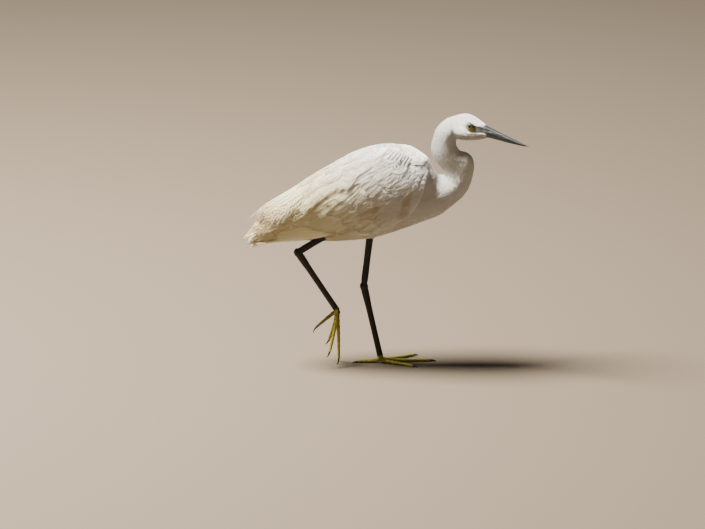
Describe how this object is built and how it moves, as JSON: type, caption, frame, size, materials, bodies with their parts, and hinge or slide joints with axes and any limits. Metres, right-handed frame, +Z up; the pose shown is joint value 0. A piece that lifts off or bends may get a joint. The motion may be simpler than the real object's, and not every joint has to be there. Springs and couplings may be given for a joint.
{
  "type": "little egret figure",
  "caption": "Life-size still figure of a wading little egret with its neck folded back and a foot lifting from the floor.",
  "frame": {"origin": "centre of the whole figure's bounding box, on the floor that the standing foot rests on", "axes": "+X the way the body faces, +Y to the bird's left, +Z up"},
  "size_m": [0.3942, 0.1, 0.3699],
  "materials": {
    "plumage": "soft white feathers, stained ochre low on the flanks and belly",
    "plume": "loose white feathers, warmer towards their tips",
    "bill": "dark slate horn with a slight sheen",
    "eye": "wet, pale yellow iris round a black pupil",
    "leg": "black scaled skin, slightly shiny",
    "toe": "yellow-green scaled skin, darker on top",
    "claw": "black horn"
  },
  "bodies": {
    "root": {"torso": "plumage", "neck_lower": "plumage", "neck_upper": "plumage", "head": "plumage", "eye_left": "eye", "eye_right": "eye", "bill_upper": "bill", "bill_lower": "bill", "mantle": "plume", "wing_left": "plumage", "wing_right": "plumage", "tail": "plumage", "thigh_left": "plumage", "shank_left": "leg", "tarsus_left": "leg", "foot_left": "toe", "claw_left_hind": "claw", "claw_left_inner": "claw", "claw_left_middle": "claw", "claw_left_outer": "claw", "thigh_right": "plumage", "shank_right": "leg", "tarsus_right": "leg", "foot_right": "toe", "claw_right_hind": "claw", "claw_right_inner": "claw", "claw_right_middle": "claw", "claw_right_outer": "claw"}
  },
  "joints": []
}
